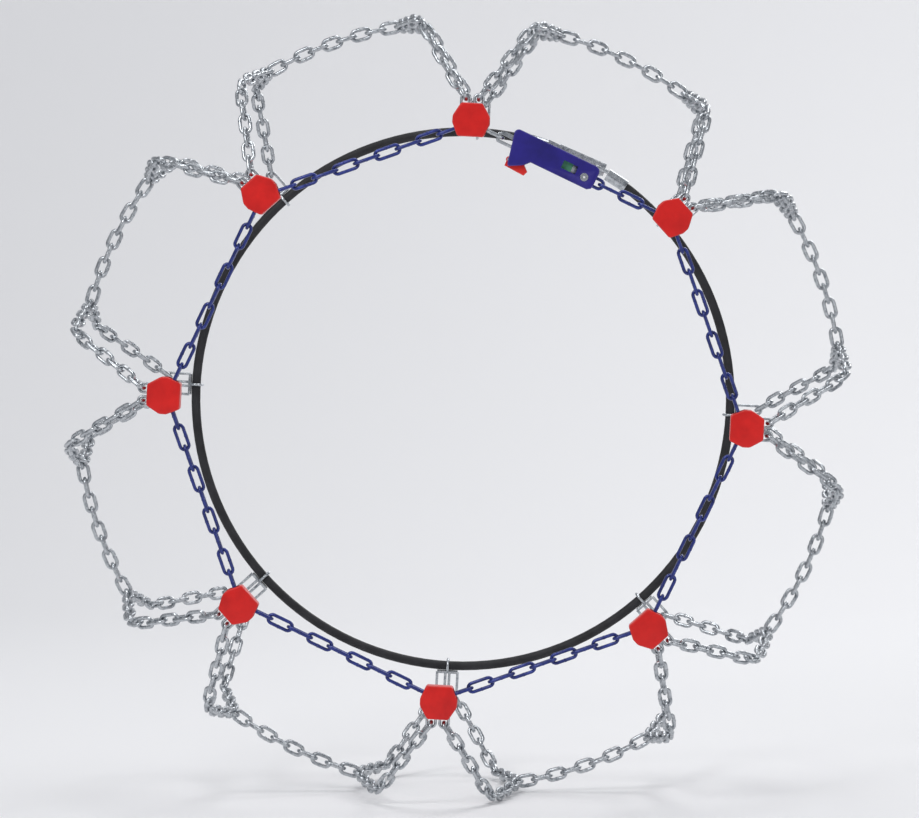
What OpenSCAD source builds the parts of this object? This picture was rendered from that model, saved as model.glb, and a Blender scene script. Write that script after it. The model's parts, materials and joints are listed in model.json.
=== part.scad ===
// Tyre snow chain, as it lies on a mounted tyre.
// Frame: Y is the wheel's axle and -Y is the outer face of the wheel, +Z is up, and the
// origin is the centre of the wheel. Angles run clockwise from +Z, seen from the outer face.

/* [Tyre space] */
// Radius of the tyre that the net is made for
tyre_r = 330; // [290:1:400]
// Width of that tyre over its sidewalls
tyre_w = 228; // [190:1:280]
// Radius of the curve from the tread to the sidewall
shoulder_r = 22; // [14:1:34]
// From the widest point of the tyre in to where the shoulder starts
shoulder_inset = 42; // [36:1:60]
// Height of a tread chain's middle over the tread that it has sunk into
tread_rise = 3; // [2:0.5:6]
// Height of a side member's middle over the widest point of the sidewall
side_rise = 6; // [5:0.5:10]

/* [Layout] */
// Places round the side where the tread chains are held
stations = 8; // [6:1:8]
// Angle of the first station from the top
first_angle = 3.2; // [0:0.1:20]
// Angle from a station to the corner of its diamond on the tread
corner_angle = 12.15; // [9:0.05:16]
// Share of the turn that a leg makes evenly; the rest comes towards the station
leg_evenness = 0.55; // [0.4:0.05:0.8]

/* [Tread chain] */
// Wire thickness of a tread link
tread_wire = 3.3; // [2.5:0.1:4.5]
// Width of a tread link over its sides
tread_link_w = 12; // [11:0.1:16]
// Wanted distance from link to link
tread_pitch = 12.8; // [12:0.1:17]

/* [Side chain] */
// Radius of the ring that the links in the connectors lie on
side_ring_r = 240; // [200:1:270]
// Wire thickness of a side link
side_wire = 3; // [2.4:0.1:4]
// Width of a side link over its sides
side_link_w = 10.5; // [9.5:0.1:14]
// Wanted distance from link to link
side_pitch = 18.6; // [15:0.1:24]

/* [Connector] */
// Width of a connector's cover at its widest
cover_w = 31.5; // [28:0.5:40]
// Width of the cover's outer edge
cover_outer_w = 18; // [14:0.5:24]
// Width of the cover's inner edge
cover_inner_w = 22; // [16:0.5:28]
// Radius of the cover's inner edge from the side ring, inwards
cover_in = 8; // [7.5:0.1:12]
// Radius of the cover's outer edge from the side ring, outwards
cover_out = 20.3; // [16:0.1:26]
// Wall at the cover's front and back
cover_wall = 1.8; // [1.2:0.1:3]
// Wire thickness of a yoke
yoke_wire = 2.4; // [2:0.1:3]
// Radius inside each small loop of a yoke
loop_in = 2.5; // [2.3:0.1:3]
// Half the distance between the two loops of a yoke
loop_offset = 5.5; // [5.2:0.1:8]
// From the side ring out to the middle of a loop's bend
loop_reach = 24; // [23.5:0.1:32]

/* [Rear hoop] */
// Radius of the hoop's middle line
hoop_r = 240; // [210:1:270]
// Diameter of the sleeved hoop cable
cable_d = 8; // [6:0.5:10]
// Length of each ferrule
ferrule_l = 20; // [14:1:30]
// Diameter of each ferrule
ferrule_d = 11; // [10:0.5:15]
// Length that the closure takes out of the hoop
closure_gap = 62; // [58:1:80]
// Thickness of the hook plate
hook_t = 5; // [4:0.5:7]
// From the hook's pin to the bar that it catches
hook_l = 38; // [32:1:46]
// Wire thickness of the eye
eye_wire = 3.6; // [3:0.1:4.5]

/* [Tensioner] */
// Length of the housing
housing_l = 79; // [74:1:100]
// Width of the housing's narrow part
housing_w = 21.2; // [20:0.1:28]
// Width of the housing's head
head_w = 32.6; // [31:0.1:40]
// Thickness of the housing
housing_t = 16; // [15:0.5:20]
// From the side chain's line out to the middle of the narrow part
housing_shift = 2.2; // [1.5:0.1:3]
// Travel of the rack
rack_travel = 10; // [4:0.5:11]
// Thickness of the rack
rack_t = 3; // [2.5:0.1:4]
// Pitch of the rack's teeth
tooth_pitch = 2.5; // [1.5:0.1:4]
// Depth of the rack's teeth
tooth_depth = 1.2; // [0.8:0.1:1.6]
// Diameter of the hollow rivet's barrel
rivet_d = 3.8; // [3:0.1:4]
// Diameter of the rivet's two flanges
rivet_flange_d = 6.8; // [5.5:0.1:9]
// Length of the window
window_l = 13; // [8:0.5:14]
// Height of the window
window_h = 7; // [4:0.5:8]
// Diameter of the pawl's and the lever's pins
pin_d = 3; // [2.5:0.1:3.5]

/* [Fits] */
// Gap between one link and the next
link_gap = 0.25; // [0.2:0.05:0.6]
// Extra gap where a run of side chain meets the link in a connector
corner_gap = 0.6; // [0.5:0.05:1]
// Gap round a pin in the piece that turns on it
pin_gap = 0.06; // [0.02:0.01:0.1]
// Gap round a pin, screw or rivet in the housing
seat_gap = 0.05; // [0.02:0.01:0.1]
// Gap round a sliding piece
slide_gap = 0.3; // [0.2:0.05:0.6]
// Room round the side chain inside a connector
chain_room = 0.8; // [0.6:0.1:2]
// Gap between the pawl and the tips of the teeth
tooth_gap = 0.3; // [0.2:0.05:0.5]

/* [Hidden] */
$fn = 48;
RED = "firebrick";
BLUE = "midnightblue";
STEEL = "lightsteelblue";

station_step = 360 / stations;
tread_bend = (tread_link_w - tread_wire) / 2;
side_bend = (side_link_w - side_wire) / 2;

// The path of a leg, from its diamond's corner to its loop, in (radius, y) and angle
chain_r = tyre_r + tread_rise;
side_y = tyre_w / 2 + side_rise;
bend_r = shoulder_r + side_rise;
flat_y = tyre_w / 2 - shoulder_inset;
bend_centre_r = chain_r - bend_r;
loop_bend = loop_in + yoke_wire / 2;
leg_tilt = 33;
leg_end_r = side_ring_r + loop_reach + loop_bend * cos(leg_tilt);
leg_end_x = loop_offset + loop_bend * sin(leg_tilt);
leg_end_angle = atan(leg_end_x / leg_end_r);
fall_r = leg_end_r - bend_centre_r;
fall_y = side_y - flat_y;
fall = norm([fall_r, fall_y]);
bend_sweep = atan2(fall_y, fall_r) - acos(bend_r / fall);
bend_l = bend_r * bend_sweep * PI / 180;
fall_l = sqrt(fall * fall - bend_r * bend_r);
profile_l = flat_y + bend_l + fall_l;

// The angle within the shoulder's curve that a distance along the profile has reached
function bend_at(t) = min(max((t - flat_y) / bend_r * 180 / PI, 0), bend_sweep);
function past_bend(t) = max(t - flat_y - bend_l, 0);
function profile_r(t) = bend_centre_r + bend_r * cos(bend_at(t)) - past_bend(t) * sin(bend_at(t));
function profile_y(t) =
    min(t, flat_y) + bend_r * sin(bend_at(t)) + past_bend(t) * cos(bend_at(t));
function leg_share(x) = leg_evenness * x + (1 - leg_evenness) * pow(x, 3);
function leg_angle(t) = corner_angle + (leg_end_angle - corner_angle) * leg_share(t / profile_l);
function ring_point(angle, r, y) = [r * sin(angle), y, r * cos(angle)];
function leg_point(t) = ring_point(leg_angle(t), profile_r(t), -profile_y(t));
function leg_normal(t) = ring_point(leg_angle(t), cos(bend_at(t)), -sin(bend_at(t)));

// Distance along the leg against distance along its profile
path_steps = 120;
path_t = [for (i = [0 : path_steps]) profile_l * i / path_steps];
path_s = [
    for (i = 0, s = 0; i <= path_steps;
        i = i + 1,
        s = s + (i <= path_steps ? norm(leg_point(path_t[i]) - leg_point(path_t[i - 1])) : 0))
    s
];
leg_l = path_s[path_steps];
function t_along(s) = lookup(s, [for (i = [0 : path_steps]) [path_s[i], path_t[i]]]);

// Counts: a leg and a run both end in a link that stands on edge, so both are odd
loop_hold = tread_bend - tread_wire / 2;
function odd_near(x) = 2 * round((x - 1) / 2) + 1;
leg_links = odd_near((leg_l + loop_hold) / tread_pitch - 0.5);
leg_step = (leg_l + loop_hold - link_gap / 2) / (leg_links + 0.5);
cross_angle = leg_angle(t_along(leg_step / 2));
bar_angle = asin(tread_bend / chain_r);
run_angle = station_step - 2 * (cross_angle + bar_angle);
run_l = chain_r * run_angle * PI / 180;
run_links = odd_near((run_l + tread_wire + link_gap) / tread_pitch);
run_step = (run_l + tread_wire + link_gap) / run_links;
tread_in = max(leg_step, run_step) + link_gap;

// Side chain: a link lies flat in each connector and a straight run joins it to the next
vertex_in = side_pitch + link_gap;
vertex_hold = vertex_in / 2 - corner_gap;
run_half = side_ring_r * sin(station_step / 2) - vertex_hold * cos(station_step / 2);
line_r = side_ring_r * cos(station_step / 2) + vertex_hold * sin(station_step / 2);
side_links = odd_near(2 * run_half / side_pitch);
side_step = 2 * run_half / side_links;

// Tensioner, along the run from the first station to the second
shackle_end = -run_half + side_step + side_wire;
housing_left = shackle_end + 5.3;
housing_mid = line_r + housing_shift;
rivet_u = housing_left + housing_l - 10;
tail_from = rivet_u - rivet_d / 2 - 0.8;
tail_links = 2 * max(1, round((run_half - tail_from) / side_pitch / 2));
tail_step = (run_half - tail_from) / tail_links;
side_in = max(vertex_in - link_gap, side_step, tail_step) + link_gap;
rack_end = tail_from - side_wire - 1.4;
eye_wall = 3;
eye_left = -run_half + side_step / 2 + side_in / 2 - 0.9 - eye_wall;
slot_l = side_wire + rack_travel + 1.5;
rack_low = line_r - 3.3;
rack_high = line_r + 6;
window_u = rack_end - 7.5;
window_v = housing_mid;
pawl_u = housing_left + 14;
pawl_v = rack_low - 5.2;
lever_u = housing_left + 5.5;
lever_v = pawl_v - 5.3;
tension_angle = first_angle + station_step / 2;

// Yoke: its ring goes round the outer side of the link in the connector
yoke_ring_r = side_ring_r + side_bend;
front_ring_in = side_wire / 2 + 0.5;
rear_ring_in = cable_d / 2 + 0.5;
bar_d = 3.2;

// One link, its long axis along X, lying in the XY plane
module link(inner_l, width, wire) {
    bend = (width - wire) / 2;
    half = round((inner_l / 2 + wire / 2 - bend) * 1000) / 1000;
    for (turn = [0, 180])
        rotate([0, 0, turn]) translate([half, 0, 0]) rotate([0, 0, -90])
            rotate_extrude(angle = 180) translate([bend, 0]) circle(d = wire);
    for (side = [-1, 1])
        translate([-half, side * bend, 0]) rotate([0, 90, 0]) cylinder(d = wire, h = 2 * half);
}

// Puts its children between two points, X along them and Z near the given normal
module between(from, to, normal) {
    x = (to - from) / norm(to - from);
    up = normal - (normal * x) * x;
    z = up / norm(up);
    y = cross(z, x);
    mid = (from + to) / 2;
    multmatrix([
        [x[0], y[0], z[0], mid[0]],
        [x[1], y[1], z[1], mid[1]],
        [x[2], y[2], z[2], mid[2]],
        [0, 0, 0, 1]
    ]) children();
}

// A tread link, flat on the tyre or standing on edge
module tread_link(on_edge) rotate([on_edge ? 90 : 0, 0, 0]) link(tread_in, tread_link_w, tread_wire);
module side_link(on_edge) rotate([on_edge ? 0 : 90, 0, 0]) link(side_in, side_link_w, side_wire);

// One leg on the outer side, from the link after the corner to the link in the loop
module leg() {
    for (i = [1 : leg_links]) {
        from = t_along((i - 0.5) * leg_step);
        to = t_along(min((i + 0.5) * leg_step, leg_l));
        start = leg_point(from);
        way = (leg_point(to) - start) / norm(leg_point(to) - start);
        between(start, start + way * leg_step, leg_normal((from + to) / 2))
            tread_link(i % 2 == 1);
    }
}

module cross_chain(k) {
    color(STEEL) rotate([0, first_angle + (k - 1) * station_step, 0])
        for (side = [0, 1]) mirror([side, 0, 0]) {
            leg();
            mirror([0, 1, 0]) leg();
            rotate([0, cross_angle, 0]) translate([0, 0, chain_r]) rotate([0, 0, 90]) tread_link(false);
        }
}

module tread_run(k) {
    color(STEEL) rotate([0, first_angle + (k - 0.5) * station_step, 0])
        for (i = [1 : run_links])
            rotate([0, (i - (run_links + 1) / 2) * run_step / chain_r * 180 / PI, 0])
                translate([0, 0, chain_r]) tread_link(i % 2 == 1);
}

// A straight run of the side chain, from the left end of the run or from a given place
module side_run(from, step, count) {
    for (i = [1 : count])
        translate([from + (i - 0.5) * step, -side_y, line_r]) side_link((count - i) % 2 == 0);
}

module side_chain() {
    color(BLUE) {
        for (k = [0 : stations - 1])
            rotate([0, first_angle + k * station_step, 0]) translate([0, -side_y, side_ring_r])
                rotate([90, 0, 0]) link(vertex_in, side_link_w, side_wire);
        for (k = [1 : stations - 1])
            rotate([0, tension_angle + k * station_step, 0]) side_run(-run_half, side_step, side_links);
    }
}

module in_tensioner() rotate([0, tension_angle, 0]) children();

module tail_chain() color(BLUE) in_tensioner() side_run(tail_from, tail_step, tail_links);

module shackle() {
    color(STEEL) in_tensioner()
        translate([-run_half + side_step / 2, -side_y, line_r]) side_link(true);
}

// Two small loops on a bar, with a ring below it that goes round the side member
module yoke(ring_in, ring_r) {
    bar_r = ring_r + ring_in + yoke_wire / 2;
    half_bar = loop_offset + loop_bend;
    for (side = [-1, 1]) translate([side * loop_offset, 0, side_ring_r + loop_reach]) {
        rotate([90, 0, 0]) rotate_extrude(angle = 180) translate([loop_bend, 0]) circle(d = yoke_wire);
        for (leg = [-1, 1]) translate([leg * loop_bend, 0, bar_r - side_ring_r - loop_reach])
            cylinder(d = yoke_wire, h = side_ring_r + loop_reach - bar_r);
    }
    translate([-half_bar, 0, bar_r]) rotate([0, 90, 0]) cylinder(d = bar_d, h = 2 * half_bar);
    translate([0, 0, ring_r]) rotate([0, 90, 0])
        rotate_extrude() translate([ring_in + yoke_wire / 2, 0]) circle(d = yoke_wire);
}

module at_station(k, y) {
    rotate([0, first_angle + (k - 1) * station_step, 0]) translate([0, y, 0]) children();
}

module connector_yoke(k) color(STEEL) at_station(k, -side_y) yoke(front_ring_in, yoke_ring_r);

module connector_cover(k) {
    inner = side_ring_r - cover_in;
    outer = side_ring_r + cover_out;
    waist = (inner + outer) / 2;
    hold_low = yoke_ring_r + side_bend / 2;
    room_t = side_link_w + 2 * chain_room;
    cover_t = room_t + 2 * cover_wall;
    color(RED) at_station(k, -side_y) difference() {
        rotate([90, 0, 0]) translate([0, 0, -cover_t / 2]) linear_extrude(height = cover_t)
            polygon([
                [-cover_inner_w / 2, inner], [cover_inner_w / 2, inner], [cover_w / 2, waist - 3],
                [cover_w / 2, waist + 3], [cover_outer_w / 2, outer], [-cover_outer_w / 2, outer],
                [-cover_w / 2, waist + 3], [-cover_w / 2, waist - 3]
            ]);
        translate([-cover_w, -room_t / 2, side_ring_r - side_link_w / 2 - chain_room])
            cube([2 * cover_w, room_t, side_link_w + 2 * chain_room]);
        translate([0, 0, hold_low]) cube([2 * yoke_wire, room_t, 6], center = true);
    }
}

module hoop_clip(k) color(STEEL) at_station(k, side_y) yoke(rear_ring_in, hoop_r);

closure_angle = closure_gap / hoop_r * 180 / PI;

module hoop_cable() {
    color("dimgray") rotate([0, tension_angle + closure_angle / 2, 0])
        translate([0, side_y, 0]) rotate([90, 0, 0]) rotate([0, 0, 90 - 360 + closure_angle])
            rotate_extrude(angle = 360 - closure_angle) translate([hoop_r, 0]) circle(d = cable_d);
}

// A frame at the closure: X along the hoop, Z outwards, in the hoop's plane
module in_closure() rotate([0, tension_angle, 0]) translate([0, side_y, hoop_r]) children();

hook_pin_u = -hook_l / 2;
ferrule_near = closure_gap / 2 - 2;
end_drop = closure_gap * closure_gap / 8 / hoop_r;

module hoop_ferrules() {
    color(STEEL) in_closure() for (side = [0, 1]) mirror([side, 0, 0]) difference() {
        union() {
            translate([ferrule_near, 0, -end_drop]) rotate([0, 90 + closure_angle / 2, 0])
                cylinder(d = ferrule_d, h = ferrule_l);
            if (side == 1) for (cheek = [-1, 1])
                translate([hook_l / 2 - 4, cheek * (hook_t / 2 + slide_gap + 1) - 1, -4.5])
                    cube([ferrule_near - hook_l / 2 + 6, 2, 8]);
        }
        translate([0, 0, -hoop_r]) rotate([90, 0, 0]) rotate([0, 0, 45])
            rotate_extrude(angle = 45 - closure_angle / 2) translate([hoop_r, 0]) circle(d = cable_d);
        if (side == 1) translate([hook_l / 2, 0, 0]) rotate([90, 0, 0])
            cylinder(d = pin_d + 2 * seat_gap, h = 4 * hook_t, center = true);
    }
}

module hook_pin() {
    pin_l = hook_t + 2 * slide_gap + 5;
    color(STEEL) in_closure() translate([hook_pin_u, 0, 0]) rotate([90, 0, 0]) {
        cylinder(d = pin_d, h = pin_l, center = true);
        for (end = [-1, 1]) translate([0, 0, end * (pin_l / 2 + 0.5)])
            cylinder(d = pin_d + 2, h = 1, center = true);
    }
}

// The mouth of the hook is a ring about its own pin, so that it lifts straight off the bar
module hoop_hook() {
    mouth = eye_wire / 2 + slide_gap;
    color(STEEL) in_closure() translate([hook_pin_u, 0, 0]) rotate([90, 0, 0])
        translate([0, 0, -hook_t / 2]) difference() {
            union() {
                cylinder(d = 9, h = hook_t);
                linear_extrude(height = hook_t)
                    polygon([[0, 4.5], [hook_l + 6, 6], [hook_l + 7, -5], [hook_l + 3, -7],
                        [hook_l - 6, -4], [0, -4.5]]);
            }
            translate([0, 0, -1]) cylinder(d = pin_d + 2 * pin_gap, h = hook_t + 2);
            translate([0, 0, -1]) rotate([0, 0, -25]) rotate_extrude(angle = 25 + asin(mouth / hook_l))
                translate([hook_l - mouth, 0]) square([2 * mouth, hook_t + 2]);
        }
}

module hoop_eye() {
    eye_half = hook_t / 2 + slide_gap + eye_wire / 2 + 0.4;
    arm = ferrule_near - hook_l / 2;
    color(STEEL) in_closure() translate([hook_l / 2, 0, 0]) {
        rotate([90, 0, 0]) cylinder(d = eye_wire, h = 2 * eye_half, center = true);
        for (side = [-1, 1]) translate([0, side * eye_half, 0]) {
            sphere(d = eye_wire);
            rotate([0, 90, 0]) cylinder(d = eye_wire, h = arm);
        }
    }
}

// Tensioner: its outline, with U along the chain and V outwards
head_round = 4;
function housing_outline() = let (
        left = housing_left, right = housing_left + housing_l,
        top = housing_mid + housing_w / 2, low = housing_mid - housing_w / 2,
        head_low = top - head_w)
    [
        for (turn = [90 : 15 : 180])
            [left + head_round * (1 + cos(turn)), top - head_round * (1 - sin(turn))],
        [left + 5.9, head_low + 2.6], [left + 6.9, head_low + 0.7], [left + 8.6, head_low + 1.15],
        [left + 18.5, head_low + 6.5],
        [left + 23, low], [right - 4, low], [right - 0.8, low + 2], [right, low + 5],
        [right, top - 4.5], [right - 1.2, top - 1.5], [right - 4, top]
    ];

// Extrudes a shape in (U, V) over a stretch of the thickness, counted from the side chain's plane
module slab(low, high) {
    in_tensioner() translate([0, -side_y + high, 0]) rotate([90, 0, 0])
        linear_extrude(height = high - low) children();
}

module post(u, v, d, low, high) {
    in_tensioner() translate([u, -side_y + high, v]) rotate([90, 0, 0]) cylinder(d = d, h = high - low);
}

screw_places = [
    for (u = [housing_left + 8, housing_left + 38, housing_left + housing_l - 9])
        [u, housing_mid + housing_w / 2 - 2.9]
];
screw_d = 2.2;
lever_t = 6;
pawl_t = 4;

module housing_room() {
    low = line_r - 5.8;
    slab(-rack_t / 2 - slide_gap, rack_t / 2 + slide_gap)
        polygon([[housing_left - 9, low], [rack_end + 1, low], [rack_end + 1, rack_high + slide_gap],
            [housing_left - 9, rack_high + slide_gap]]);
    slab(-side_wire / 2 - slide_gap, side_wire / 2 + slide_gap)
        polygon([[tail_from - side_wire - 0.6, line_r - side_link_w / 2 - 0.5],
            [housing_left + housing_l + 9, line_r - side_link_w / 2 - 0.5],
            [housing_left + housing_l + 9, line_r + side_link_w / 2 + 0.5],
            [tail_from - side_wire - 0.6, line_r + side_link_w / 2 + 0.5]]);
    slab(-lever_t / 2 - slide_gap, lever_t / 2 + slide_gap)
        polygon([[housing_left + 2.6, pawl_v + 5], [housing_left + 2.6, lever_v - 4],
            [housing_left + 6, lever_v - 20], [housing_left + 40, lever_v - 20],
            [housing_left + 24, pawl_v - 4.2], [housing_left + 21.4, pawl_v - 1], [housing_left + 21.4, pawl_v + 5]]);
    slab(-rack_t / 2 - 1.2, 0)
        polygon([[window_u - window_l / 2 - rack_travel - 2, window_v - window_h / 2 - 1],
            [window_u + window_l / 2 + 2, window_v - window_h / 2 - 1],
            [window_u + window_l / 2 + 2, window_v + window_h / 2 + 1],
            [window_u - window_l / 2 - rack_travel - 2, window_v + window_h / 2 + 1]]);
    post(rivet_u, line_r, rivet_d + 2 * seat_gap, -housing_t, housing_t);
    post(pawl_u, pawl_v, pin_d + 2 * seat_gap, -housing_t / 2 + 2, housing_t / 2 - 2);
    post(lever_u, lever_v, pin_d + 2 * seat_gap, -housing_t / 2 + 2, housing_t / 2 - 2);
    for (p = screw_places) {
        post(p[0], p[1], screw_d + 2 * seat_gap, -housing_t / 2 + 2, housing_t);
        post(p[0], p[1], screw_d + 2 + 2 * seat_gap, housing_t / 2 - 1.5, housing_t);
    }
}

module housing_front() {
    color(BLUE) difference() {
        slab(-housing_t / 2, 0) polygon(housing_outline());
        housing_room();
        slab(-housing_t, 0)
            polygon([[window_u - window_l / 2, window_v - window_h / 2],
                [window_u + window_l / 2, window_v - window_h / 2],
                [window_u + window_l / 2, window_v + window_h / 2],
                [window_u - window_l / 2, window_v + window_h / 2]]);
    }
}

module housing_back() {
    color(BLUE) difference() {
        slab(0, housing_t / 2) polygon(housing_outline());
        housing_room();
    }
}

// Teeth are cut in the rack's inner edge, above the pawl
module rack() {
    slot_half = side_wire / 2 + 0.7;
    slot_from = eye_left + eye_wall;
    teeth = floor((rack_end - 3 - slot_from - slot_l - 3) / tooth_pitch);
    color(STEEL) difference() {
        union() {
            slab(-rack_t / 2, rack_t / 2)
                polygon([[eye_left, line_r - 3], [eye_left + 2, line_r - 5],
                    [slot_from + slot_l + 1, line_r - 5], [slot_from + slot_l + 2, rack_low],
                    [rack_end, rack_low], [rack_end, rack_high], [eye_left + 5, rack_high],
                    [eye_left, line_r + 3]]);
        }
        slab(-rack_t, rack_t)
            polygon([[slot_from, line_r - slot_half], [slot_from + slot_l, line_r - slot_half],
                [slot_from + slot_l, line_r + slot_half], [slot_from, line_r + slot_half]]);
        for (i = [0 : teeth - 1]) {
            u = slot_from + slot_l + 3 + i * tooth_pitch;
            slab(-rack_t, rack_t)
                polygon([[u, rack_low - 1], [u, rack_low + tooth_depth],
                    [u + tooth_pitch * 0.8, rack_low - 0.01], [u + tooth_pitch * 0.8, rack_low - 1]]);
        }
    }
}

module indicator() {
    color("seagreen") slab(-rack_t / 2 - 0.6, -rack_t / 2)
        polygon([[window_u - window_l / 2 - 1, window_v - window_h / 2 - 0.6],
            [window_u + window_l / 6, window_v - window_h / 2 - 0.6],
            [window_u + window_l / 6, window_v + window_h / 2 + 0.6],
            [window_u - window_l / 2 - 1, window_v + window_h / 2 + 0.6]]);
}

module pawl() {
    tip_v = rack_low - tooth_gap;
    color(STEEL) difference() {
        union() {
            post(pawl_u, pawl_v, 6, -pawl_t / 2, pawl_t / 2);
            slab(-pawl_t / 2, pawl_t / 2)
                polygon([[pawl_u - 4.6, tip_v], [pawl_u - 2.8, pawl_v - 1], [pawl_u, pawl_v - 2.6], [pawl_u + 5.2, pawl_v - 1.8],
                    [pawl_u + 5.2, pawl_v - 0.2], [pawl_u, pawl_v + 2.6], [pawl_u - 3, tip_v - 0.8]]);
        }
        post(pawl_u, pawl_v, pin_d + 2 * pin_gap, -housing_t, housing_t);
    }
}

module pawl_pin() color(STEEL) post(pawl_u, pawl_v, pin_d, -housing_t / 2 + 2.2, housing_t / 2 - 2.2);
module lever_pin() color(STEEL) post(lever_u, lever_v, pin_d, -housing_t / 2 + 2.2, housing_t / 2 - 2.2);

module release_lever() {
    color("crimson") difference() {
        union() {
            post(lever_u, lever_v, 5, -lever_t / 2, lever_t / 2);
            slab(-lever_t / 2, lever_t / 2)
                polygon([[lever_u - 1.5, lever_v + 2], [lever_u - 1.2, lever_v - 6.4], [lever_u + 17, lever_v - 7.2],
                    [lever_u + 18.6, lever_v - 3], [lever_u + 13.4, lever_v + 1.6], [lever_u + 11.5, lever_v + 1.6],
                    [lever_u + 7, lever_v]]);
        }
        post(lever_u, lever_v, pin_d + 2 * pin_gap, -housing_t, housing_t);
    }
}

module end_rivet() {
    color(STEEL) difference() {
        union() {
            post(rivet_u, line_r, rivet_d, -housing_t / 2, housing_t / 2);
            post(rivet_u, line_r, rivet_flange_d, -housing_t / 2 - 1, -housing_t / 2);
            post(rivet_u, line_r, rivet_flange_d, housing_t / 2, housing_t / 2 + 1);
        }
        post(rivet_u, line_r, rivet_d - 2, -housing_t, housing_t);
    }
}

module housing_screws() {
    color("gray") for (p = screw_places) {
        post(p[0], p[1], screw_d, -housing_t / 2 + 2.2, housing_t / 2 - 1.5);
        post(p[0], p[1], screw_d + 2, housing_t / 2 - 1.5, housing_t / 2);
    }
}

for (k = [1 : stations]) {
    connector_cover(k);
    connector_yoke(k);
    cross_chain(k);
    tread_run(k);
    hoop_clip(k);
}
side_chain();
tail_chain();
shackle();
hoop_cable();
hoop_ferrules();
hoop_eye();
hook_pin();
hoop_hook();
housing_front();
housing_back();
rack();
indicator();
pawl();
pawl_pin();
release_lever();
lever_pin();
end_rivet();
housing_screws();
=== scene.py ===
# Tyre snow chain: a link net for one tyre, with moulded connectors, a tensioner and a rear hoop.
import json
import math

import bmesh
import bpy
import numpy as np
from mathutils import Matrix, Vector


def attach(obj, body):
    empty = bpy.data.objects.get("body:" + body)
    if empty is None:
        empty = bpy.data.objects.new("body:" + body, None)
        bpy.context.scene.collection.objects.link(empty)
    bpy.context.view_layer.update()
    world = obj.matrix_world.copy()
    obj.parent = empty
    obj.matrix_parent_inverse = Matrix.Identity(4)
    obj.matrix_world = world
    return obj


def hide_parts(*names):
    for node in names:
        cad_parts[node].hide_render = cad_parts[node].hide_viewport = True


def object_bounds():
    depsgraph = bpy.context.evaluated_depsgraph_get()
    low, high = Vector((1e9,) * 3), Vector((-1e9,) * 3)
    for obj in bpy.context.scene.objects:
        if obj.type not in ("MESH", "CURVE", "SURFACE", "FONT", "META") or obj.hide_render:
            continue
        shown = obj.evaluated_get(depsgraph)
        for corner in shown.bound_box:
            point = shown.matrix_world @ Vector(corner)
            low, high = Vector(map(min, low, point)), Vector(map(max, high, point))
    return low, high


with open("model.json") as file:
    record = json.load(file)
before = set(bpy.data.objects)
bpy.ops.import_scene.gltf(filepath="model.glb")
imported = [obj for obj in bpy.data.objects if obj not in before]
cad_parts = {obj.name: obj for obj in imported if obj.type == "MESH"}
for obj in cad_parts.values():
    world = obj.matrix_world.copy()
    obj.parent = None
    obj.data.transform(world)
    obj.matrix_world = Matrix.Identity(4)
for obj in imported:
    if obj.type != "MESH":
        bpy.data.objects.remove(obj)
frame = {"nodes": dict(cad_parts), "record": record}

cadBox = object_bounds()
nodes = frame["nodes"]
bodyOf = {name: body for body, names in frame["record"]["behaviour"]["bodies"].items() for name in names}
scene = bpy.context.scene
print("frame loaded:", len(nodes), "nodes")

# Camera and studio
viewSettings = {
    "azimuth": -1.6,      # degrees round from the outer face
    "elevation": 2.6,
    "distance": 3.8,
    "seenWidth": 0.800,   # metres across the picture at the wheel's middle plane
    "aim": (0.0005, 0.0, -0.0030),
    "sensor": 36.0,
}


def makeCamera(settings):
    azimuth = math.radians(settings["azimuth"])
    elevation = math.radians(settings["elevation"])
    away = Vector((-math.sin(azimuth) * math.cos(elevation),
                   -math.cos(azimuth) * math.cos(elevation),
                   math.sin(elevation)))
    lensData = bpy.data.cameras.new("chainCamera")
    lensData.sensor_width = settings["sensor"]
    lensData.lens = settings["sensor"] * settings["distance"] / settings["seenWidth"]
    camera = bpy.data.objects.new("chainCamera", lensData)
    scene.collection.objects.link(camera)
    aim = Vector(settings["aim"])
    camera.location = aim + away * settings["distance"]
    camera.rotation_euler = (-away).to_track_quat("-Z", "Y").to_euler()
    scene.camera = camera


makeCamera(viewSettings)
print("camera placed")

studioSettings = {
    "floorGap": 0.0006,   # the net hangs clear of the floor by this much
    "floorHalf": 4.0,
    "wallAway": 1.6,
    "wallBend": 0.9,
    "wallHeight": 4.0,
    "paper": (0.86, 0.86, 0.87),
    "skyStrength": 0.42,
}
lamps = [
    # name, place, size, watts
    ("keyLamp", (-1.3, -2.2, 1.9), 1.0, 30),
    ("fillLamp", (1.9, -2.4, 0.7), 1.2, 9),
    ("topLamp", (0.2, 0.3, 2.3), 1.2, 20),
    ("backLamp", (1.2, 2.0, 1.4), 1.0, 16),
]


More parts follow.
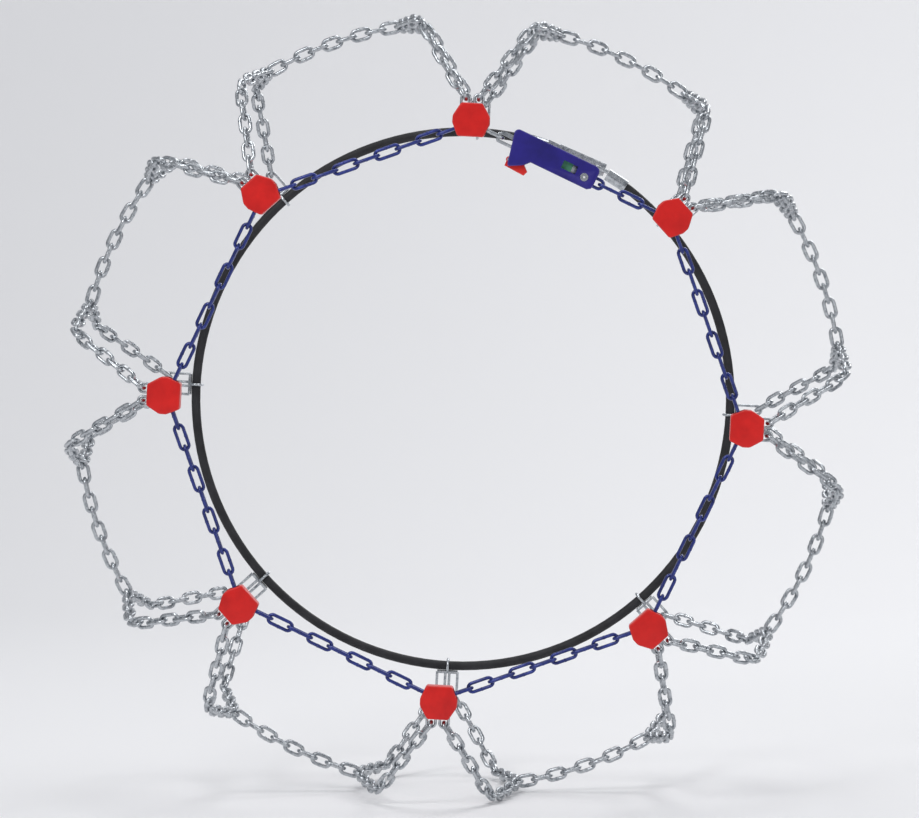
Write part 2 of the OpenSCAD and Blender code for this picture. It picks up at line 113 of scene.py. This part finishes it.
def makeStudio(settings):
    low = cadBox[0][2] - settings["floorGap"]
    half = settings["floorHalf"]
    wall = settings["wallAway"]
    bend = settings["wallBend"]
    profile = [(-half, low), (wall, low)]
    for step in range(1, 13):
        turn = math.radians(90 * step / 12)
        profile.append((wall + bend * math.sin(turn), low + bend * (1 - math.cos(turn))))
    profile.append((wall + bend, low + settings["wallHeight"]))
    mesh = bpy.data.meshes.new("paperSweep")
    verts = [(side * half, y, z) for y, z in profile for side in (-1, 1)]
    faces = [(2 * i, 2 * i + 1, 2 * i + 3, 2 * i + 2) for i in range(len(profile) - 1)]
    mesh.from_pydata(verts, [], faces)
    mesh.shade_smooth()
    paper = bpy.data.materials.new("studioPaper")
    paper.use_nodes = True
    shader = paper.node_tree.nodes["Principled BSDF"]
    shader.inputs["Base Color"].default_value = (*settings["paper"], 1)
    shader.inputs["Roughness"].default_value = 0.9
    mesh.materials.append(paper)
    sweep = bpy.data.objects.new("paperSweep", mesh)
    scene.collection.objects.link(sweep)
    world = bpy.data.worlds.new("studioSky")
    world.use_nodes = True
    world.node_tree.nodes["Background"].inputs["Color"].default_value = (0.93, 0.95, 1.0, 1)
    world.node_tree.nodes["Background"].inputs["Strength"].default_value = settings["skyStrength"]
    scene.world = world
    for name, place, size, watts in lamps:
        light = bpy.data.lights.new(name, "AREA")
        light.size = size
        light.energy = watts
        lamp = bpy.data.objects.new(name, light)
        lamp.location = place
        lamp.rotation_euler = (-Vector(place)).to_track_quat("-Z", "Y").to_euler()
        scene.collection.objects.link(lamp)
    scene.view_settings.view_transform = "Standard"


makeStudio(studioSettings)
print("studio made")


# Finishes
def finishBase(name):
    material = bpy.data.materials.new(name)
    material.use_nodes = True
    tree = material.node_tree
    place = tree.nodes.new("ShaderNodeTexCoord")
    return material, tree, tree.nodes["Principled BSDF"], place.outputs["Object"]


def addNoise(tree, place, scale, detail=4.0, rough=0.55):
    noise = tree.nodes.new("ShaderNodeTexNoise")
    noise.inputs["Scale"].default_value = scale
    noise.inputs["Detail"].default_value = detail
    noise.inputs["Roughness"].default_value = rough
    tree.links.new(place, noise.inputs["Vector"])
    return noise.outputs["Fac"]


def addRamp(tree, value, stops):
    ramp = tree.nodes.new("ShaderNodeValToRGB")
    while len(ramp.color_ramp.elements) < len(stops):
        ramp.color_ramp.elements.new(0.5)
    for element, (at, colour) in zip(ramp.color_ramp.elements, stops):
        element.position = at
        element.color = (*colour, 1)
    tree.links.new(value, ramp.inputs["Fac"])
    return ramp.outputs["Color"]


def addRange(tree, value, low, high):
    spread = tree.nodes.new("ShaderNodeMapRange")
    spread.inputs["From Min"].default_value = 0.3
    spread.inputs["From Max"].default_value = 0.7
    spread.inputs["To Min"].default_value = low
    spread.inputs["To Max"].default_value = high
    tree.links.new(value, spread.inputs["Value"])
    return spread.outputs["Result"]


def addMix(tree, share, first, second):
    mix = tree.nodes.new("ShaderNodeMix")
    mix.data_type = "RGBA"
    tree.links.new(share, mix.inputs[0])
    tree.links.new(first, mix.inputs[6])
    mix.inputs[7].default_value = (*second, 1)
    return mix.outputs[2]


def addBump(tree, shader, height, strength, distance):
    bump = tree.nodes.new("ShaderNodeBump")
    bump.inputs["Strength"].default_value = strength
    bump.inputs["Distance"].default_value = distance
    tree.links.new(height, bump.inputs["Height"])
    tree.links.new(bump.outputs["Normal"], shader.inputs["Normal"])


def edgeWear(tree, low, high):
    shape = tree.nodes.new("ShaderNodeNewGeometry")
    spread = tree.nodes.new("ShaderNodeMapRange")
    spread.inputs["From Min"].default_value = low
    spread.inputs["From Max"].default_value = high
    tree.links.new(shape.outputs["Pointiness"], spread.inputs["Value"])
    return spread.outputs["Result"]


def makeSteel(name, dark, light, roughLow, roughHigh):
    material, tree, shader, place = finishBase(name)
    grain = addNoise(tree, place, 190, 5)
    fine = addNoise(tree, place, 1300, 3)
    shader.inputs["Metallic"].default_value = 1.0
    zinc = addRamp(tree, grain, [(0.3, dark), (0.55, light), (0.75, dark)])
    tree.links.new(zinc, shader.inputs["Base Color"])
    tree.links.new(addRange(tree, fine, roughLow, roughHigh), shader.inputs["Roughness"])
    addBump(tree, shader, fine, 0.25, 0.00012)
    return material


def makePlastic(name, deep, plain, worn, roughness, coat):
    material, tree, shader, place = finishBase(name)
    cloud = addNoise(tree, place, 60, 4)
    grain = addNoise(tree, place, 2600, 2)
    scuff = addNoise(tree, place, 420, 6, 0.7)
    body = addRamp(tree, cloud, [(0.3, deep), (0.7, plain)])
    wear = tree.nodes.new("ShaderNodeMath")
    wear.operation = "MULTIPLY"
    tree.links.new(edgeWear(tree, 0.52, 0.62), wear.inputs[0])
    tree.links.new(scuff, wear.inputs[1])
    tree.links.new(addMix(tree, wear.outputs[0], body, worn), shader.inputs["Base Color"])
    tree.links.new(addRange(tree, scuff, roughness - 0.06, roughness + 0.1), shader.inputs["Roughness"])
    shader.inputs["Coat Weight"].default_value = coat
    shader.inputs["Coat Roughness"].default_value = 0.25
    shader.inputs["Specular IOR Level"].default_value = 0.32
    addBump(tree, shader, grain, 0.16, 0.00008)
    return material


def makePaintedChain(name):
    material, tree, shader, place = finishBase(name)
    cloud = addNoise(tree, place, 160, 4)
    rub = addNoise(tree, place, 520, 6, 0.7)
    body = addRamp(tree, cloud, [(0.3, (0.010, 0.018, 0.125)), (0.7, (0.026, 0.045, 0.27))])
    bare = addRamp(tree, rub, [(0.60, (0, 0, 0)), (0.74, (1, 1, 1))])
    tree.links.new(addMix(tree, bare, body, (0.12, 0.16, 0.38)), shader.inputs["Base Color"])
    shader.inputs["Metallic"].default_value = 0.55
    tree.links.new(addRange(tree, rub, 0.24, 0.42), shader.inputs["Roughness"])
    shader.inputs["Coat Weight"].default_value = 0.4
    addBump(tree, shader, rub, 0.2, 0.0001)
    return material


# deep, plain and worn colour, roughness, coat
plasticSettings = {
    "red_plastic": (
        "redPlastic", (0.56, 0.006, 0.005), (0.74, 0.012, 0.009), (0.90, 0.20, 0.15), 0.36, 0.08),
    "blue_plastic": (
        "bluePlastic", (0.011, 0.007, 0.150), (0.020, 0.013, 0.235), (0.16, 0.14, 0.44), 0.42, 0.05),
    "green_indicator": (
        "greenIndicator", (0.008, 0.20, 0.09), (0.015, 0.33, 0.15), (0.2, 0.5, 0.3), 0.5, 0.0),
    "black_sleeve": (
        "blackSleeve", (0.012, 0.012, 0.014), (0.03, 0.03, 0.034), (0.12, 0.12, 0.12), 0.55, 0.0),
}
finishes = {slot: makePlastic(*settings) for slot, settings in plasticSettings.items()}
zincDark = (0.24, 0.26, 0.285)
zincLight = (0.56, 0.585, 0.61)
finishes["galvanised_steel"] = makeSteel("galvanisedSteel", zincDark, zincLight, 0.2, 0.38)
finishes["blue_chain"] = makePaintedChain("blueChainPaint")
slotOf = {part["node"]: part["material_slot"] for part in frame["record"]["subparts"]}
print("finishes made")


# Links
linkSettings = {
    "sides": 8,          # faces round the wire
    "cornerSteps": 4,    # steps in each quarter of an end bend
    "seamGap": 1e-6,     # merges the frame's split corners
    "bendShare": 0.499,  # an end bend's radius as a share of the link's middle width
    "weldSwell": 0.06,   # the weld bead stands out by this share of the wire
    "weldSides": 10,     # faces round the weld bead
}


def looseParts(mesh):
    # places of the corners of each separate solid in a mesh
    shape = bmesh.new()
    shape.from_mesh(mesh)
    bmesh.ops.remove_doubles(shape, verts=shape.verts, dist=linkSettings["seamGap"])
    shape.verts.ensure_lookup_table()
    seen = set()
    parts = []
    for start in shape.verts:
        if start.index in seen:
            continue
        seen.add(start.index)
        queue = [start]
        places = []
        while queue:
            vert = queue.pop()
            places.append(tuple(vert.co))
            for edge in vert.link_edges:
                other = edge.other_vert(vert)
                if other.index not in seen:
                    seen.add(other.index)
                    queue.append(other)
        parts.append(np.array(places))
    shape.free()
    return parts


def linkFrame(places):
    # centre, turn and size of one link, from where its corners lie
    middle = places.mean(0)
    spread = np.cov((places - middle).T)
    axes = np.linalg.eigh(spread)[1][:, ::-1]
    if np.linalg.det(axes) < 0:
        axes[:, 2] *= -1
    along = (places - middle) @ axes
    low, high = along.min(0), along.max(0)
    centre = middle + axes @ ((low + high) / 2)
    turn = Matrix(axes.tolist()).to_euler()
    return centre, turn, high - low


def linkTree():
    tree = bpy.data.node_groups.new("chainLinks", "GeometryNodeTree")
    face = tree.interface
    face.new_socket("Geometry", in_out="INPUT", socket_type="NodeSocketGeometry")
    sockets = {}
    for label, kind, value in (
        ("Link Length", "NodeSocketFloat", 0.019), ("Link Width", "NodeSocketFloat", 0.012),
        ("Wire", "NodeSocketFloat", 0.0033), ("Wire Sides", "NodeSocketInt", 8),
        ("Corner Steps", "NodeSocketInt", 4), ("Weld Swell", "NodeSocketFloat", 0.05),
        ("Finish", "NodeSocketMaterial", None),
    ):
        socket = face.new_socket(label, in_out="INPUT", socket_type=kind)
        if value is not None:
            socket.default_value = value
        sockets[label] = socket.identifier
    face.new_socket("Geometry", in_out="OUTPUT", socket_type="NodeSocketGeometry")
    made = tree.nodes
    join = tree.links.new
    entry = made.new("NodeGroupInput")
    leave = made.new("NodeGroupOutput")

    def less(first, second):
        node = made.new("ShaderNodeMath")
        node.operation = "SUBTRACT"
        join(first, node.inputs[0])
        join(second, node.inputs[1])
        return node.outputs[0]

    middleLength = less(entry.outputs["Link Length"], entry.outputs["Wire"])
    middleWidth = less(entry.outputs["Link Width"], entry.outputs["Wire"])
    path = made.new("GeometryNodeCurvePrimitiveQuadrilateral")
    join(middleLength, path.inputs["Width"])
    join(middleWidth, path.inputs["Height"])
    half = made.new("ShaderNodeMath")
    half.operation = "MULTIPLY"
    half.inputs[1].default_value = linkSettings["bendShare"]
    join(middleWidth, half.inputs[0])
    fillet = made.new("GeometryNodeFilletCurve")
    fillet.mode = "POLY"
    join(path.outputs["Curve"], fillet.inputs["Curve"])
    join(half.outputs[0], fillet.inputs["Radius"])
    join(entry.outputs["Corner Steps"], fillet.inputs["Count"])
    section = made.new("GeometryNodeCurvePrimitiveCircle")
    join(entry.outputs["Wire Sides"], section.inputs["Resolution"])
    radius = made.new("ShaderNodeMath")
    radius.operation = "MULTIPLY"
    radius.inputs[1].default_value = 0.5
    join(entry.outputs["Wire"], radius.inputs[0])
    join(radius.outputs[0], section.inputs["Radius"])
    wire = made.new("GeometryNodeCurveToMesh")
    join(fillet.outputs["Curve"], wire.inputs["Curve"])
    join(section.outputs["Curve"], wire.inputs["Profile Curve"])
    # A short bead round the middle of one straight leg, where the link is welded shut
    seam = made.new("GeometryNodeMeshCylinder")
    seam.fill_type = "NGON"
    seam.inputs["Vertices"].default_value = linkSettings["weldSides"]
    seamSize = made.new("ShaderNodeMath")
    seamSize.operation = "MULTIPLY_ADD"
    join(entry.outputs["Wire"], seamSize.inputs[0])
    join(entry.outputs["Weld Swell"], seamSize.inputs[1])
    join(radius.outputs[0], seamSize.inputs[2])
    join(seamSize.outputs[0], seam.inputs["Radius"])
    join(radius.outputs[0], seam.inputs["Depth"])
    legOut = made.new("ShaderNodeMath")
    legOut.operation = "MULTIPLY"
    legOut.inputs[1].default_value = 0.5
    join(middleWidth, legOut.inputs[0])
    seamPlace = made.new("ShaderNodeCombineXYZ")
    join(legOut.outputs[0], seamPlace.inputs["Y"])
    seamMove = made.new("GeometryNodeTransform")
    join(seam.outputs["Mesh"], seamMove.inputs["Geometry"])
    join(seamPlace.outputs["Vector"], seamMove.inputs["Translation"])
    seamMove.inputs["Rotation"].default_value = (0, math.radians(90), 0)
    whole = made.new("GeometryNodeJoinGeometry")
    join(seamMove.outputs["Geometry"], whole.inputs["Geometry"])
    join(wire.outputs["Mesh"], whole.inputs["Geometry"])
    smooth = made.new("GeometryNodeSetShadeSmooth")
    join(whole.outputs["Geometry"], smooth.inputs["Geometry"])
    turn = made.new("GeometryNodeInputNamedAttribute")
    turn.data_type = "FLOAT_VECTOR"
    turn.inputs["Name"].default_value = "linkTurn"
    toTurn = made.new("FunctionNodeEulerToRotation")
    join(turn.outputs["Attribute"], toTurn.inputs["Euler"])
    onPoints = made.new("GeometryNodeInstanceOnPoints")
    join(entry.outputs["Geometry"], onPoints.inputs["Points"])
    join(smooth.outputs["Geometry"], onPoints.inputs["Instance"])
    join(toTurn.outputs["Rotation"], onPoints.inputs["Rotation"])
    real = made.new("GeometryNodeRealizeInstances")
    join(onPoints.outputs["Instances"], real.inputs["Geometry"])
    paint = made.new("GeometryNodeSetMaterial")
    join(real.outputs["Geometry"], paint.inputs["Geometry"])
    join(entry.outputs["Finish"], paint.inputs["Material"])
    join(paint.outputs["Geometry"], leave.inputs["Geometry"])
    return tree, sockets


chainTree, chainSockets = linkTree()


def keepPiece(name, mesh, node):
    piece = bpy.data.objects.new(name, mesh)
    scene.collection.objects.link(piece)
    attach(piece, bodyOf[node])
    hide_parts(node)


def makeLinks(node, wire):
    frames = [linkFrame(places) for places in looseParts(nodes[node].data)]
    size = np.median([f[2] for f in frames], axis=0)
    holder = bpy.data.meshes.new(node + "Points")
    holder.from_pydata([tuple(f[0]) for f in frames], [], [])
    turns = holder.attributes.new("linkTurn", "FLOAT_VECTOR", "POINT")
    turns.data.foreach_set("vector", np.array([tuple(f[1]) for f in frames], dtype=np.float32).ravel())
    source = bpy.data.objects.new(node + "Points", holder)
    scene.collection.objects.link(source)
    modifier = source.modifiers.new("links", "NODES")
    modifier.node_group = chainTree
    values = {
        "Link Length": float(size[0]), "Link Width": float(size[1]), "Wire": wire,
        "Wire Sides": linkSettings["sides"], "Corner Steps": linkSettings["cornerSteps"],
        "Weld Swell": linkSettings["weldSwell"],
        "Finish": finishes[slotOf[node]],
    }
    for label, value in values.items():
        modifier[chainSockets[label]] = value
    ready = source.evaluated_get(bpy.context.evaluated_depsgraph_get())
    mesh = bpy.data.meshes.new_from_object(ready)
    mesh.name = node + "Links"
    source.modifiers.remove(modifier)
    bpy.data.objects.remove(source)
    keepPiece(node + "_links", mesh, node)


treadWire = 0.0033
sideWire = 0.003
wireOf = {
    "cross_chain": treadWire, "tread_run": treadWire,
    "side_chain": sideWire, "tail_chain": sideWire, "shackle": sideWire,
}
linkNodes = sorted(name for name in nodes if name.rsplit("_", 1)[0] in ("cross_chain", "tread_run"))
linkNodes += ["side_chain", "tail_chain", "shackle"]
for name in linkNodes:
    makeLinks(name, next(size for start, size in wireOf.items() if name.startswith(start)))
print("links made on", len(linkNodes), "nodes")


# Moulded and machined pieces
moulding = {
    "flatAngle": 1.5,     # degrees: faces nearer than this become one
    "cornerAngle": 20,    # degrees: a corner sharper than this is rounded
    "sharpAngle": 30,     # degrees: an edge sharper than this keeps a crease
    "rimLevel": 2e-5,     # how far off a face's level a rim's ends may lie
}
roundings = {
    # node name starts with: rounding of the two outer rims, steps, rounding of the outline's corners
    "connector_cover": (0.0014, 5, 0.0016),
    "housing_front": (0.0014, 5, 0.0),
    "housing_back": (0.0014, 5, 0.0),
    "release_lever": (0.0008, 4, 0.0),
    "hoop_hook": (0.0007, 4, 0.0),
    "rack": (0.0002, 2, 0.0),
}


def outlineCorners(shape):
    # edges right through the piece, along the axle, where two side faces meet at a clear angle
    depth = max(v.co.y for v in shape.verts) - min(v.co.y for v in shape.verts)
    found = []
    for edge in shape.edges:
        run = edge.verts[1].co - edge.verts[0].co
        sharp = edge.calc_face_angle_signed(0) > math.radians(moulding["cornerAngle"])
        if abs(run.y) > 0.9 * depth and sharp:
            found.append(edge)
    return found


def rimEdges(shape):
    # the outer outline of the front face and of the back face, without the holes in them
    rims = []
    for level in (min(v.co.y for v in shape.verts), max(v.co.y for v in shape.verts)):
        loose = {e for e in shape.edges
                 if all(abs(v.co.y - level) < moulding["rimLevel"] for v in e.verts)
                 and any(abs(f.normal.y) < 0.5 for f in e.link_faces)}
        best, reach = [], 0.0
        while loose:
            group = [loose.pop()]
            for edge in group:
                near = {e for v in edge.verts for e in v.link_edges} & loose
                loose -= near
                group += near
            xs = [v.co.x for e in group for v in e.verts]
            zs = [v.co.z for e in group for v in e.verts]
            size = math.hypot(max(xs) - min(xs), max(zs) - min(zs))
            if size > reach:
                best, reach = group, size
        rims += best
    return rims


def roundedCopy(node, width, steps, corner):
    shape = bmesh.new()
    shape.from_mesh(nodes[node].data)
    bmesh.ops.remove_doubles(shape, verts=shape.verts, dist=linkSettings["seamGap"])
    bmesh.ops.dissolve_limit(shape, angle_limit=math.radians(moulding["flatAngle"]),
                             verts=shape.verts, edges=shape.edges)
    if corner:
        bmesh.ops.bevel(shape, geom=outlineCorners(shape), offset=corner, segments=6, profile=0.5,
                        affect="EDGES", clamp_overlap=False)
        shape.normal_update()
    bmesh.ops.bevel(shape, geom=rimEdges(shape), offset=width, segments=steps, profile=0.5,
                    affect="EDGES", clamp_overlap=False)
    mesh = bpy.data.meshes.new(node + "Rounded")
    shape.to_mesh(mesh)
    shape.free()
    mesh.materials.clear()
    mesh.materials.append(finishes[slotOf[node]])
    mesh.shade_smooth()
    mesh.set_sharp_from_angle(angle=math.radians(moulding["sharpAngle"]))
    keepPiece(node + "_body", mesh, node)


for name in sorted(nodes):
    for start, rounding in roundings.items():
        if name.startswith(start):
            roundedCopy(name, *rounding)
print("moulded pieces made")

# Frame pieces whose own shape is right take a finish as they are
replaced = set(linkNodes) | {n for n in nodes for start in roundings if n.startswith(start)}
for name in sorted(nodes):
    if name not in replaced:
        for slot in nodes[name].material_slots:
            slot.material = finishes[slotOf[name]]
print("frame pieces finished:", len(nodes) - len(replaced))
